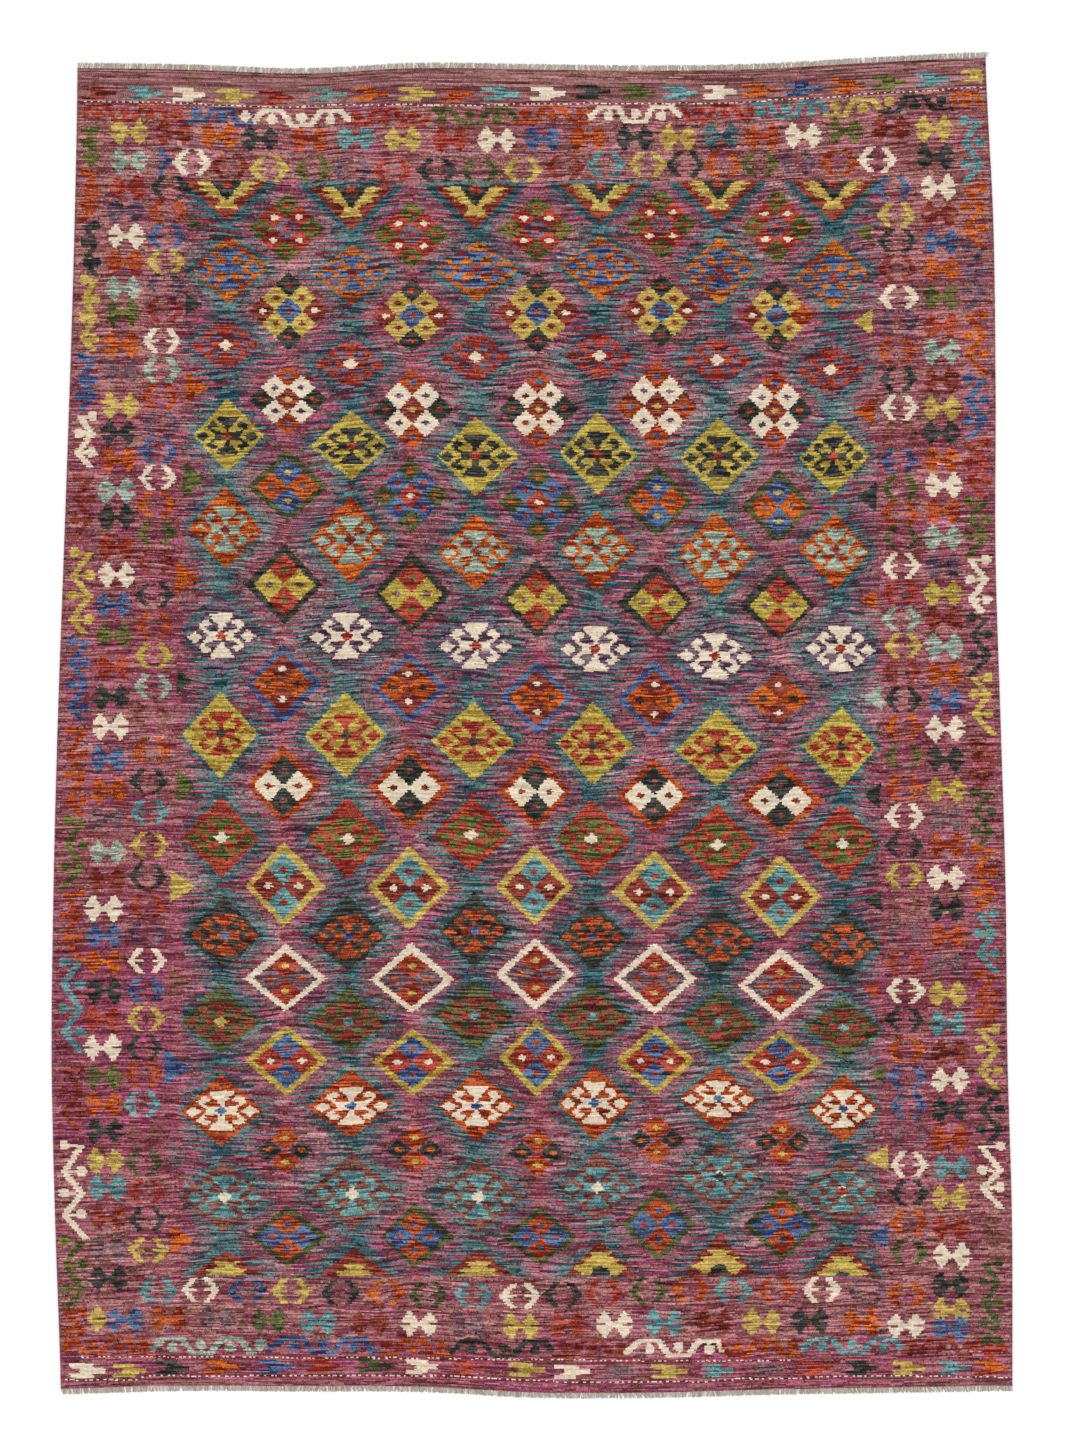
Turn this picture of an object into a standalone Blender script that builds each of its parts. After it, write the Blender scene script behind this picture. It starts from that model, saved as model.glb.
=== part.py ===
"""A flat-woven wool kilim rug, lying flat on the floor: one woven cloth and the row of cut
warp ends that stands out of each of its two ends.

Metres, +Z up. X runs along the weft, from one selvedge to the other, and Y runs along the warp.
The origin is on the floor, under the middle of the whole rug, fringes included.
"""

import random

import bmesh
import bpy
from mathutils import Vector

# The cloth. A slit-woven kilim of this kind is about 3 mm thick.
CLOTH_THICKNESS = 0.003
RIM_ROUNDING = 0.0009
RIM_SEGMENTS = 2
RIM_ANGLE = 1.0  # radians: only the rim's edges turn more than this
COLUMNS = 48
ROWS = 64

# The two side edges. The cloth is hand woven, so it is wider near the bottom than at the top.
# share: how far up the length. left, right: the edges' X.
SIDE_EDGES = (
    {"share": 0.000, "left": -1.038, "right": 1.056},
    {"share": 0.125, "left": -1.050, "right": 1.055},
    {"share": 0.250, "left": -1.058, "right": 1.045},
    {"share": 0.375, "left": -1.054, "right": 1.041},
    {"share": 0.500, "left": -1.045, "right": 1.030},
    {"share": 0.625, "left": -1.032, "right": 1.019},
    {"share": 0.750, "left": -1.019, "right": 1.019},
    {"share": 0.875, "left": -1.008, "right": 1.014},
    {"share": 1.000, "left": -1.001, "right": 0.997},
)

# The two ends, where the weft stops. They wave a little, and the top one rises to the right.
# share: how far across the width. bottom, top: the edges' Y.
END_EDGES = (
    {"share": 0.000, "bottom": -1.460, "top": 1.446},
    {"share": 0.125, "bottom": -1.453, "top": 1.442},
    {"share": 0.250, "bottom": -1.454, "top": 1.434},
    {"share": 0.375, "bottom": -1.455, "top": 1.446},
    {"share": 0.500, "bottom": -1.468, "top": 1.443},
    {"share": 0.625, "bottom": -1.468, "top": 1.440},
    {"share": 0.750, "bottom": -1.461, "top": 1.444},
    {"share": 0.875, "bottom": -1.457, "top": 1.458},
    {"share": 1.000, "bottom": -1.453, "top": 1.469},
)

# The fringes: the warp ends, cut short. Each lock stands for the few warps that lie together.
LOCKS_PER_END = 148
LOCK_SHARE_OF_PITCH = 0.86
LOCK_LENGTH = 0.0105
LOCK_LENGTH_SPREAD = 0.0022
LOCK_LEAN = 0.0016
LOCK_TIP_SHARE = 0.80
LOCK_TIP_THICKNESS = 0.0012
ROOT_WIDTH = 0.0028
ROOT_THICKNESS = 0.0020
PIECE_GAP = 0.0003
FRINGE_SEED = 7

# Yarn colours, as linear values.
MAUVE_WOOL = (0.225, 0.080, 0.110, 1.0)
UNDYED_WARP = (0.430, 0.385, 0.325, 1.0)
WOOL_ROUGHNESS = 0.92


def clear_scene():
    for old in list(bpy.data.objects):
        bpy.data.objects.remove(old, do_unlink=True)


def make_collection(name):
    collection = bpy.data.collections.new(name)
    bpy.context.scene.collection.children.link(collection)
    return collection


def make_wool(name, colour):
    material = bpy.data.materials.new(name)
    material.use_nodes = True
    shader = material.node_tree.nodes["Principled BSDF"]
    shader.inputs["Base Color"].default_value = colour
    shader.inputs["Roughness"].default_value = WOOL_ROUGHNESS
    shader.inputs["Metallic"].default_value = 0.0
    return material


def smooth_value(table, column, share):
    """The named column of a table at a share, on a smooth curve through its evenly spaced rows."""
    values = [row[column] for row in table]
    last = len(values) - 1
    place = min(max(share, 0.0), 1.0) * last
    index = min(int(place), last - 1)
    t = place - index
    before = values[max(index - 1, 0)]
    start, end = values[index], values[index + 1]
    after = values[min(index + 2, last)]
    slope_in = (end - before) / 2
    slope_out = (after - start) / 2
    return (
        start * (2 * t**3 - 3 * t**2 + 1)
        + slope_in * (t**3 - 2 * t**2 + t)
        + end * (3 * t**2 - 2 * t**3)
        + slope_out * (t**3 - t**2)
    )


def end_edge(column, share):
    """The Y of an end of the cloth, on the straight facets that its columns give it."""
    place = share * COLUMNS
    index = min(int(place), COLUMNS - 1)
    start = smooth_value(END_EDGES, column, index / COLUMNS)
    end = smooth_value(END_EDGES, column, (index + 1) / COLUMNS)
    return start + (end - start) * (place - index)


def cloth_point(across, along):
    """Where the cloth lies on the floor, for shares of its width and of its length."""
    left = smooth_value(SIDE_EDGES, "left", along)
    right = smooth_value(SIDE_EDGES, "right", along)
    bottom = end_edge("bottom", across)
    top = end_edge("top", across)
    return Vector((left + (right - left) * across, bottom + (top - bottom) * along, 0.0))


def link_mesh(bm, name, material, collection):
    bmesh.ops.recalc_face_normals(bm, faces=bm.faces)
    mesh = bpy.data.meshes.new(name)
    bm.to_mesh(mesh)
    bm.free()
    mesh.materials.append(material)
    obj = bpy.data.objects.new(name, mesh)
    collection.objects.link(obj)
    return obj


def raise_sheet(bm, thickness):
    """Gives a flat sheet its thickness, up from the floor."""
    raised = bmesh.ops.extrude_face_region(bm, geom=bm.faces[:], use_keep_orig=True)
    top = [item for item in raised["geom"] if isinstance(item, bmesh.types.BMVert)]
    bmesh.ops.translate(bm, verts=top, vec=(0.0, 0.0, thickness))


def is_level(edge):
    first, second = edge.verts
    return abs(first.co.z - second.co.z) < CLOTH_THICKNESS / 2


def make_cloth(material, collection):
    """The woven cloth, one flat sheet with its rim rounded as the weft turns round the last warps."""
    bm = bmesh.new()
    bmesh.ops.create_grid(bm, x_segments=COLUMNS, y_segments=ROWS, size=0.5)
    for vert in bm.verts:
        vert.co = cloth_point(vert.co.x + 0.5, vert.co.y + 0.5)
    raise_sheet(bm, CLOTH_THICKNESS)
    bmesh.ops.recalc_face_normals(bm, faces=bm.faces)
    rim = [edge for edge in bm.edges if is_level(edge) and edge.calc_face_angle() > RIM_ANGLE]
    bmesh.ops.bevel(
        bm, geom=rim, offset=RIM_ROUNDING, segments=RIM_SEGMENTS,
        profile=0.5, affect="EDGES", material=-1,
    )
    return link_mesh(bm, "kilim_cloth", material, collection)


def strip_share(column):
    """The share of the width at a column line of the fringe's root strip: gap, lock, gap, and so on."""
    lock, side = divmod(column, 2)
    if column in (0, 2 * LOCKS_PER_END + 1):
        return float(column > 0)
    pitch = 1.0 / LOCKS_PER_END
    half_gap = (1.0 - LOCK_SHARE_OF_PITCH) / 2
    if side:
        return (lock + half_gap) * pitch
    return (lock - half_gap) * pitch


def make_fringe(name, end, outward, draw, material, collection):
    """A row of cut warp ends. Their roots are one narrow strip that lies just off the cloth's end."""
    along = float(outward > 0)
    columns = 2 * LOCKS_PER_END + 1
    bm = bmesh.new()
    bmesh.ops.create_grid(bm, x_segments=columns, y_segments=1, size=0.5)
    for vert in bm.verts:
        share = strip_share(round((vert.co.x + 0.5) * columns))
        is_outer = vert.co.y * outward > 0
        vert.co.x = cloth_point(share, along).x
        vert.co.y = end_edge(end, share) + outward * (PIECE_GAP + ROOT_WIDTH * is_outer)
    raise_sheet(bm, ROOT_THICKNESS)
    bmesh.ops.recalc_face_normals(bm, faces=bm.faces)
    bm.faces.ensure_lookup_table()
    outer = sorted(
        (face for face in bm.faces if face.normal.y * outward > 0.5),
        key=lambda face: face.calc_center_median().x,
    )
    locks = bmesh.ops.extrude_discrete_faces(bm, faces=outer[1::2])["faces"]
    for tip in sorted(locks, key=lambda face: face.calc_center_median().x):
        shape_lock_tip(tip, outward, draw)
    return link_mesh(bm, name, material, collection)


def shape_lock_tip(tip, outward, draw):
    """Draws the end face of one lock out to its length, a little narrower and thinner, on the floor."""
    length = LOCK_LENGTH + draw.uniform(-LOCK_LENGTH_SPREAD, LOCK_LENGTH_SPREAD)
    lean = draw.uniform(-LOCK_LEAN, LOCK_LEAN)
    middle = tip.calc_center_median()
    for vert in tip.verts:
        vert.co.x = middle.x + (vert.co.x - middle.x) * LOCK_TIP_SHARE + lean
        vert.co.y = middle.y + outward * length
        if vert.co.z > ROOT_THICKNESS / 2:
            vert.co.z = LOCK_TIP_THICKNESS


def centre_on_origin(parts):
    """Slides all the pieces so that the middle of the whole rug is over the origin."""
    corners = [vert.co for obj in parts for vert in obj.data.vertices]
    for axis in (0, 1):
        low = min(corner[axis] for corner in corners)
        high = max(corner[axis] for corner in corners)
        for corner in corners:
            corner[axis] -= (low + high) / 2


def main():
    clear_scene()
    rug = make_collection("kilim_rug")
    wool = make_wool("mauve_wool", MAUVE_WOOL)
    warp = make_wool("undyed_warp", UNDYED_WARP)
    draw = random.Random(FRINGE_SEED)
    parts = [
        make_cloth(wool, rug),
        make_fringe("fringe_top", "top", 1.0, draw, warp, rug),
        make_fringe("fringe_bottom", "bottom", -1.0, draw, warp, rug),
    ]
    centre_on_origin(parts)


main()
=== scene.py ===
"""The looks of a flat-woven wool kilim rug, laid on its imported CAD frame."""

import math
import random

import bmesh
import bpy
import numpy as np
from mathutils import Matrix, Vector


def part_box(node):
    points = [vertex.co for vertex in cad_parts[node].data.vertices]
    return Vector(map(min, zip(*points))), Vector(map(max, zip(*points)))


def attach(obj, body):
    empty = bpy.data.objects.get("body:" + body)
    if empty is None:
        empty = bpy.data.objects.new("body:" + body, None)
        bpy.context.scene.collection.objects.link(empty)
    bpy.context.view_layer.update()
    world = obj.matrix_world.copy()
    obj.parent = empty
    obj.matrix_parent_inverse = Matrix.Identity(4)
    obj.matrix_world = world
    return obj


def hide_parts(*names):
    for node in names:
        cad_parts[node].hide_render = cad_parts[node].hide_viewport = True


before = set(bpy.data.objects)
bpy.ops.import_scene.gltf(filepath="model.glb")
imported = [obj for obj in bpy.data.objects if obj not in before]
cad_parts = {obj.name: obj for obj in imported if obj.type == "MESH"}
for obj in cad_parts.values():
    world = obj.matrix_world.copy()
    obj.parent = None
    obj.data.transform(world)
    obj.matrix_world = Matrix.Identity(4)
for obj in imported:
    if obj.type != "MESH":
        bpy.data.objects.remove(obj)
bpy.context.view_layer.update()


# ---------------------------------------------------------------- The floor, the light, the camera
# A pale studio floor under an even, soft light, so that the rug throws almost no shadow. It lies
# just under the rug's own floor level, so that the two never share a plane.
FLOOR_SIZE = 30.0
FLOOR_HEIGHT = -0.0005

bpy.ops.mesh.primitive_plane_add(size=FLOOR_SIZE, location=(0.0, 0.0, FLOOR_HEIGHT))
floor = bpy.context.object
floor.name = "studio_floor"
paint = bpy.data.materials.new("white_floor")
paint.use_nodes = True
paint_shader = paint.node_tree.nodes["Principled BSDF"]
paint_shader.inputs["Base Color"].default_value = (0.93, 0.93, 0.93, 1)
paint_shader.inputs["Roughness"].default_value = 0.9
paint_shader.inputs["Specular IOR Level"].default_value = 0.0
floor.data.materials.append(paint)

studio = bpy.data.worlds.new("studio")
studio.use_nodes = True
studio.node_tree.nodes["Background"].inputs["Color"].default_value = (1.0, 1.0, 1.0, 1.0)
studio.node_tree.nodes["Background"].inputs["Strength"].default_value = 1.0
bpy.context.scene.world = studio

lamp = bpy.data.lights.new("soft_lamp", "SUN")
lamp.energy = 0.45
lamp.angle = math.radians(40.0)
lamp_holder = bpy.data.objects.new("soft_lamp", lamp)
lamp_holder.rotation_euler = (math.radians(-16.0), math.radians(-14.0), 0.0)
bpy.context.scene.collection.objects.link(lamp_holder)

# The camera looks straight down, and the photo's upper edge is +Y.
camera = bpy.data.cameras.new("camera")
camera.lens = 85.0
camera_holder = bpy.data.objects.new("camera", camera)
camera_holder.location = (0.0176, 0.0121, 7.483)
bpy.context.scene.collection.objects.link(camera_holder)
bpy.context.scene.camera = camera_holder
bpy.context.scene.view_settings.view_transform = "Standard"


# ---------------------------------------------------------------- The woven cloth: its outline
# One sheet of weft-faced wool, 3 mm thick. Its sides and ends wander as on any hand loom, so the
# outline follows the same smooth tables as the CAD solid, and the weave is laid out inside it.
THICKNESS = 0.003
BLOCKS_ACROSS = 133
BLOCKS_ALONG = 350
BLOCK = 3  # a block of the sheet's grid has this many warps and this many rows
WARPS = BLOCK * BLOCKS_ACROSS
ROWS = BLOCK * BLOCKS_ALONG
END_FACETS = 48

LEFT_EDGE = (-1.038, -1.050, -1.058, -1.054, -1.045, -1.032, -1.019, -1.008, -1.001)
RIGHT_EDGE = (1.056, 1.055, 1.045, 1.041, 1.030, 1.019, 1.019, 1.014, 0.997)
BOTTOM_EDGE = (-1.460, -1.453, -1.454, -1.455, -1.468, -1.468, -1.461, -1.457, -1.453)
TOP_EDGE = (1.446, 1.442, 1.434, 1.446, 1.443, 1.440, 1.444, 1.458, 1.469)


def smooth_values(values, shares):
    """The values at these shares of the table's length, on a smooth curve through its rows."""
    values = np.array(values)
    last = len(values) - 1
    place = np.clip(shares, 0.0, 1.0) * last
    index = np.minimum(place.astype(int), last - 1)
    t = (place - index).reshape(-1, *[1] * (values.ndim - 1))
    before, start = values[np.maximum(index - 1, 0)], values[index]
    end, after = values[index + 1], values[np.minimum(index + 2, last)]
    return (
        start * (2 * t**3 - 3 * t**2 + 1)
        + (end - before) / 2 * (t**3 - 2 * t**2 + t)
        + end * (3 * t**2 - 2 * t**3)
        + (after - start) / 2 * (t**3 - t**2)
    )


def faceted(values, shares):
    """The same for an end of the cloth, which the CAD solid has in straight facets."""
    corners = np.linspace(0.0, 1.0, END_FACETS + 1)
    return np.interp(shares, corners, smooth_values(values, corners))


# The wefts rise and fall a little as they are beaten down: about 4 mm over the width of a motif.
weaver = np.random.default_rng(47)
WIDE_RISE = weaver.uniform(-0.0050, 0.0050, (38, 25))
SHORT_RISE = weaver.uniform(-0.0021, 0.0021, (90, 64))


def lay_out(across, along):
    """The X and the Y of every crossing of these shares of the width and of the length."""
    left, right = smooth_values(LEFT_EDGE, along), smooth_values(RIGHT_EDGE, along)
    bottom, top = faceted(BOTTOM_EDGE, across), faceted(TOP_EDGE, across)
    x = left[:, None] + (right - left)[:, None] * across[None, :]
    y = bottom[None, :] + (top - bottom)[None, :] * along[:, None]
    inside = (1 - (2 * across - 1)**8)[None, :] * (1 - (2 * along - 1)**8)[:, None]
    for rise in (WIDE_RISE, SHORT_RISE):
        y = y + inside * smooth_values(smooth_values(rise, along).T, across).T
    return x, y


low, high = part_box("kilim_cloth")
knot_x, knot_y = lay_out(np.linspace(0, 1, BLOCKS_ACROSS + 1), np.linspace(0, 1, BLOCKS_ALONG + 1))
shift_x = (low.x + high.x - knot_x.min() - knot_x.max()) / 2
shift_y = (low.y + high.y - knot_y.min() - knot_y.max()) / 2
knot_x += shift_x
knot_y += shift_y


# ---------------------------------------------------------------- The woven cloth: its chart
# The weaver's chart: which yarn each cell of the weave takes, one cell to a warp pair and a pick.
# Its places and sizes are in steps of 2.2 mm, across from the left and down from the top.
STEP = 0.0022
MIDDLE_ACROSS = 532.0
MIDDLE_DOWN = 725.5
FIELD_LEFT = 182
FIELD_RIGHT = 879
FIELD_TOP = 181
FIELD_BOTTOM = 1277

cell_x, cell_y = lay_out((np.arange(WARPS) + 0.5) / WARPS, (np.arange(ROWS) + 0.5) / ROWS)
cell_x = MIDDLE_ACROSS + cell_x / STEP
cell_y = MIDDLE_DOWN - cell_y / STEP

# Each yarn was dyed in small lots, so it has a main shade and a second one, in sRGB from 0 to 255.
# The last value is how unevenly it was spun and dyed, from 0 to 1. The ground's yarns come first.
YARNS = {
    "teal": ((99, 127, 129), (38, 66, 76), 1.0),
    "sage": ((126, 150, 145), (78, 106, 106), 1.0),
    "deep_teal": ((70, 108, 117), (24, 54, 66), 1.0),
    "rose": ((178, 110, 115), (116, 50, 60), 1.0),
    "pale_rose": ((192, 138, 138), (144, 88, 94), 1.0),
    "magenta": ((172, 90, 108), (118, 48, 66), 1.0),
    "wine": ((148, 76, 86), (94, 36, 48), 1.0),
    "raspberry": ((176, 108, 112), (122, 52, 60), 1.0),
    "dusty_rose": ((184, 130, 122), (128, 72, 70), 1.0),
    "end_pale": ((182, 136, 130), (152, 104, 100), 0.7),
    "end_mauve": ((164, 114, 110), (128, 78, 77), 0.7),
    "end_wine": ((138, 84, 84), (96, 48, 52), 0.7),
    "selvedge": ((160, 102, 106), (120, 66, 72), 1.0),
    "cream": ((244, 228, 203), (226, 208, 181), 0.35),
    "gold": ((216, 190, 102), (170, 138, 62), 0.6),
    "olive": ((204, 182, 86), (156, 126, 46), 0.7),
    "orange": ((210, 106, 40), (128, 34, 6), 1.0),
    "rust": ((200, 94, 48), (116, 28, 10), 1.0),
    "red": ((188, 82, 62), (118, 26, 18), 1.0),
    "maroon": ((160, 76, 60), (92, 24, 18), 1.0),
    "dark": ((80, 78, 71), (25, 32, 31), 1.0),
    "forest": ((104, 106, 64), (40, 46, 30), 1.0),
    "green": ((122, 120, 62), (50, 60, 28), 1.0),
    "mint": ((184, 194, 174), (106, 130, 120), 0.7),
    "aqua": ((122, 170, 168), (64, 104, 112), 0.8),
    "blue": ((98, 124, 160), (44, 50, 94), 1.0),
    "plum": ((134, 108, 122), (62, 38, 58), 1.0),
    "mauve": ((146, 112, 116), (84, 54, 62), 1.0),
    "amber": ((206, 120, 46), (124, 34, 16), 1.0),
    "brown": ((148, 98, 86), (96, 42, 34), 1.0),
}
YARN_LIMIT = 32
YARN_NUMBER = {name: number for number, name in enumerate(YARNS)}
OPEN = -1
chart = np.full((ROWS, WARPS), OPEN)

NARROWEST_CELL = 2.1
SHORTEST_CELL = 1.0


def weave(yarn, corners, x, y, wide=1.0, tall=1.0, lean=0.0):
    """Weaves one shape round (x, y) in a yarn. lean lets its sides sit at unequal heights."""
    points = [(x + a * wide, y + b * tall + a * wide * lean) for a, b in corners]
    reach_x = max(abs(a - x) for a, b in points) / NARROWEST_CELL + 3
    reach_y = max(abs(b - y) for a, b in points) / SHORTEST_CELL + 4
    row = int(np.abs(cell_y[:, WARPS // 2] - y).argmin())
    warp = int(np.abs(cell_x[row] - x).argmin())
    row = int(np.abs(cell_y[:, warp] - y).argmin())
    rows = slice(max(int(row - reach_y), 0), int(row + reach_y) + 1)
    warps = slice(max(int(warp - reach_x), 0), int(warp + reach_x) + 1)
    near_x, near_y = cell_x[rows, warps], cell_y[rows, warps]
    inside = np.zeros(near_x.shape, bool)
    for (x0, y0), (x1, y1) in zip(points, points[1:] + points[:1]):
        if y0 != y1:
            crossed = (near_y < y0) != (near_y < y1)
            inside ^= crossed & (near_x < x0 + (near_y - y0) * (x1 - x0) / (y1 - y0))
    chart[rows, warps][inside] = YARN_NUMBER[yarn]


def mirrored(corners, across, down):
    """The shape's corners, turned over left to right, top to bottom, or both."""
    return [(a * across, b * down) for a, b in corners]


DIAMOND = [(-1, 0), (0, -1), (1, 0), (0, 1)]
LEAF = [(-1, -0.42), (-0.5, -0.86), (0.5, -0.86), (1, -0.42), (1, 0.42), (0.5, 0.86), (-0.5, 0.86),
        (-1, 0.42)]
draw = random.Random(31)

# The hooked medallions, in six columns (A): a diamond, a figure with four claws, and a heart.
BELL = [(-12, -18), (12, -18), (12, -16), (9, -12.5), (5, -10), (2.4, -6.5), (2.4, 0), (-2.4, 0),
        (-2.4, -6.5), (-5, -10), (-9, -12.5), (-12, -16)]
ARM = [(0, -3), (-4.6, -3.5), (-14, -4.4), (-17.5, -7.4), (-24.2, -8.3), (-18.4, -4), (-14, -1.4),
       (-14.5, 0.8), (0, 2)]
CLAW = [(-24.2, -8.3), (-17.5, -13.4), (-13.2, -12.6), (-10.2, -9.5), (-14, -8.3), (-17.5, -7.4)]
BUD = [(27.4 + 8 * a, 5 * b) for a, b in DIAMOND]
TIP_MARGIN = 1.2


def weave_uneven(yarn, x, y, top, bottom, left, right, lean=0.0):
    """A diamond whose tips run on a little past these places. Gives its width and its height."""
    left, right = left - TIP_MARGIN, right + TIP_MARGIN
    top, bottom = top - TIP_MARGIN, bottom + TIP_MARGIN
    weave(yarn, [(left - x, 0), (0, top - y), (right - x, 0), (0, bottom - y)], x, y, lean=lean)
    return right - left, bottom - top


def weave_medallion(x, y, top, bottom, left, right, yarns, figure, lean):
    """figure is the height of the hooked figure, as a share of the ground's."""
    ground, hooks, heart = yarns
    width, height = weave_uneven(ground, x, y, top, bottom, left, right, lean)
    wide, tall = width / 80, height / 2 * figure / 18
    for down in (-1, 1):
        weave(hooks, mirrored(BELL, 1, down), x, y, wide, tall, lean)
        for across in (-1, 1):
            weave(hooks, mirrored(ARM, across, down), x, y, wide, tall, lean)
            weave(hooks, mirrored(CLAW, across, down), x, y, wide, tall, lean)
    for across in (-1, 1):
        weave(hooks, mirrored(BUD, across, 1), x, y + 0.8, wide, tall, lean)
    size = 1.15 if heart == "cream" else 1.0
    weave(heart, DIAMOND, x, y, 6.5 * size * wide, 4.6 * size * tall)


MEDALLIONS = (
    # the yarns of the ground, the hooks and the heart, and how tall the figure is in its ground;
    # then the middle, the top, the bottom, the left and the right of each, from the left column
    (("amber", "blue", "red"), 0.58,
     (228, 269, 235, 303, 193, 266), (352, 274, 246, 304, 315, 387),
     (476, 269, 242, 302, 435, 518), (600, 266, 237, 301, 561, 640),
     (719, 270, 237, 304, 683, 755), (833, 277, 240, 308, 796, 869)),
    (("plum", "red", "cream"), 0.64,
     (225, 345, 315, 376, 187, 262), (350, 364, 333, 395, 312, 388),
     (475, 357, 326, 389, 437, 513), (599, 356, 325, 388, 562, 637),
     (717, 360, 329, 391, 680, 755), (830, 370, 339, 401, 792, 868)),
    (("olive", "dark", "red"), 0.52,
     (227, 436, 400, 471, 194, 263), (351, 446, 412, 479, 311, 388),
     (475, 456, 418, 495, 438, 518), (597, 454, 413, 494, 560, 636),
     (718, 457, 419, 495, 680, 757), (833, 457, 421, 494, 800, 868)),
    (("orange", "mint", "maroon"), 0.54,
     (225, 530, 488, 568, 189, 261), (350, 540, 498, 583, 310, 388),
     (475, 552, 515, 590, 437, 514), (596, 550, 512, 590, 561, 634),
     (715, 555, 513, 597, 677, 754), (835, 550, 515, 589, 800, 868)),
    (("plum", "cream", "red"), 0.56,
     (221, 636, 597, 675, 184, 259), (346, 636, 597, 675, 305, 387),
     (475, 646, 607, 685, 434, 515), (595, 649, 609, 687, 557, 633),
     (715, 656, 616, 694, 674, 756), (840, 649, 610, 688, 801, 878)),
    (("olive", "red", "dark"), 0.5,
     (220, 734, 693, 778, 183, 256), (345, 736, 693, 777, 305, 385),
     (473, 742, 703, 780, 432, 514), (592, 745, 703, 784, 558, 632),
     (717, 750, 710, 786, 676, 757), (841, 747, 708, 787, 802, 875)),
    (("red", "green", "cream"), 0.5,
     (221, 838, 798, 877, 182, 258), (347, 839, 798, 877, 307, 385),
     (471, 835, 798, 872, 432, 512), (591, 839, 801, 879, 555, 630),
     (717, 845, 805, 883, 678, 757), (842, 844, 805, 882, 802, 877)),
    (("dark", "rust", "blue"), 0.54,
     (224, 935, 897, 969, 184, 260), (348, 937, 896, 971, 310, 385),
     (474, 931, 893, 968, 440, 508), (592, 937, 902, 970, 559, 627),
     (718, 942, 908, 975, 679, 756), (843, 945, 911, 982, 808, 877)),
    (("forest", "maroon", "aqua"), 0.56,
     (220, 1022, 985, 1053, 182, 260), (348, 1022, 988, 1052, 308, 386),
     (474, 1016, 981, 1050, 434, 513), (592, 1018, 983, 1053, 553, 630),
     (718, 1023, 991, 1055, 681, 758), (843, 1028, 1000, 1059, 804, 881)),
    (("rust", "cream", "blue"), 0.54,
     (221, 1111, 1075, 1146, 181, 262), (351, 1106, 1070, 1137, 308, 391),
     (476, 1106, 1070, 1142, 438, 516), (594, 1103, 1066, 1140, 558, 632),
     (718, 1099, 1067, 1131, 679, 757), (843, 1109, 1075, 1142, 807, 878)),
    (("brown", "aqua", "cream"), 0.56,
     (224, 1197, 1161, 1233, 180, 263), (352, 1194, 1153, 1229, 309, 394),
     (478, 1197, 1158, 1233, 438, 520), (597, 1188, 1152, 1222, 561, 635),
     (719, 1177, 1142, 1215, 677, 761), (842, 1192, 1158, 1226, 803, 881)),
)
for yarns, figure, *places in MEDALLIONS:
    for place in places:
        weave_medallion(*place, yarns, figure, draw.uniform(-0.04, 0.04))

# Dots in a few of them, in another yarn.
MEDALLION_DOTS = (
    ("gold", 220, 1022), ("blue", 228, 269), ("dark", 719, 1177), ("red", 842, 1192),
    ("orange", 199, 531), ("orange", 251, 531), ("olive", 194, 735), ("olive", 246, 735),
)
for yarn, x, y in MEDALLION_DOTS:
    weave(yarn, DIAMOND, x, y, 8, 5)

# Half medallions close the columns at both ends of the field: a stepped arrowhead on a triangle.
ARROWHEAD = [(0, 22), (16, 1.5), (22, 0), (33.5, 2.5), (22, 6.2), (29.5, 9), (16, 12.2), (23.5, 15),
             (9.5, 18.4), (6.5, 22), (12.5, 30), (0, 30)]
TOP_HALVES = (
    # the middle, the top and the tip
    (226, 181, 222), (351, 187, 231), (475, 186, 230),
    (600, 184, 223), (718, 181, 222), (833, 181, 222.5),
)
for x, top, tip in TOP_HALVES:
    tall = (tip - top) / 44
    weave("deep_teal", [(-51, 0), (50, 0), (0, 52)], x, top, 1.0, tall)
    weave("maroon", [(-43, 0), (42, 0), (0, 44.5)], x, top, 1.0, tall)
    weave("dark", [(-19, 0), (19, 0), (0, 22)], x, top, 1.0, tall)
    weave("red", [(-4, 0), (4, 0), (6, 7.5), (-5, 7.5)], x, top, 1.0, tall)
    for across in (-1, 1):
        weave("gold", mirrored(ARROWHEAD, across, 1), x, top, 0.96, tall)

HALF_FIGURE = [(0, 0), (12, 0), (6.5, 5.5), (20.5, 8), (14, 10.5), (27.5, 16), (21.5, 19), (17, 24),
               (0, 24)]
BOTTOM_HALVES = (
    # the middle, the tip, the top of the figure and half the width
    (226, 1251, 1262, 42), (354, 1248, 1264, 40), (478, 1249, 1262, 38),
    (600, 1240, 1252, 38), (719, 1232, 1250, 40), (842, 1242, 1257, 38),
)
for x, tip, top, half in BOTTOM_HALVES:
    base = FIELD_BOTTOM + 1
    weave("maroon", [(-half, 0), (half, 0), (0, tip - base)], x, base)
    for across in (-1, 1):
        weave("gold", mirrored(HALF_FIGURE, across, 1), x, top)
    weave("dark", [(-11, 24), (-7, 16.5), (0, 14), (7, 16.5), (11, 24)], x, top)
chart[cell_y > FIELD_BOTTOM - 1] = OPEN


# The quartered diamonds, in five columns (B) between the others: two small diamonds that stand over
# each other and two that stand level, in a band.
def weave_quartered(x, y, top, bottom, left, right, yarns):
    band, upright, upright_dot, level, level_dot = yarns
    width, height = weave_uneven(band, x, y, top, bottom, left, right)
    wide, tall = width / 78, height / 76
    for a, b, yarn, dot in ((0, -14.4, upright, upright_dot), (0, 14.4, upright, upright_dot),
                            (-14.9, 0, level, level_dot), (14.9, 0, level, level_dot)):
        weave(yarn, DIAMOND, x + a * wide, y + b * tall, 15.6 * wide, 15.0 * tall)
        weave(dot, DIAMOND, x + a * wide, y + b * tall, 4.8 * wide, 3.4 * tall)


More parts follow.
